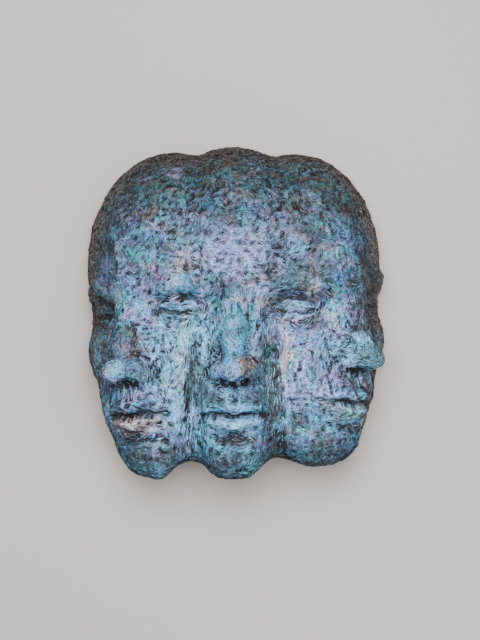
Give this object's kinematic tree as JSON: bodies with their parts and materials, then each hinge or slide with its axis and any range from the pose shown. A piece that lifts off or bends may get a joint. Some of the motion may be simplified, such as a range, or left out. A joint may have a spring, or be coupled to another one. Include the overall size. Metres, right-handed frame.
{
  "type": "wall mask",
  "caption": "Hollow wall mask of heads grown together side by side, with calm closed-eye faces, in rough fibrous pulp with blue-green patina.",
  "frame": {"origin": "middle of the outline at the back plane, level with the flat back rim", "axes": "+Z out of the faces, +Y towards the crowns, +X towards the viewer's right of someone who looks at the faces"},
  "size_m": [0.2107, 0.2321, 0.1167],
  "materials": {
    "painted_pulp": "matte turquoise, lavender and blue-grey paint dry-brushed over rough dark brown fibrous paper pulp"
  },
  "bodies": {
    "root": {"mask_shell": "painted_pulp"}
  },
  "joints": []
}
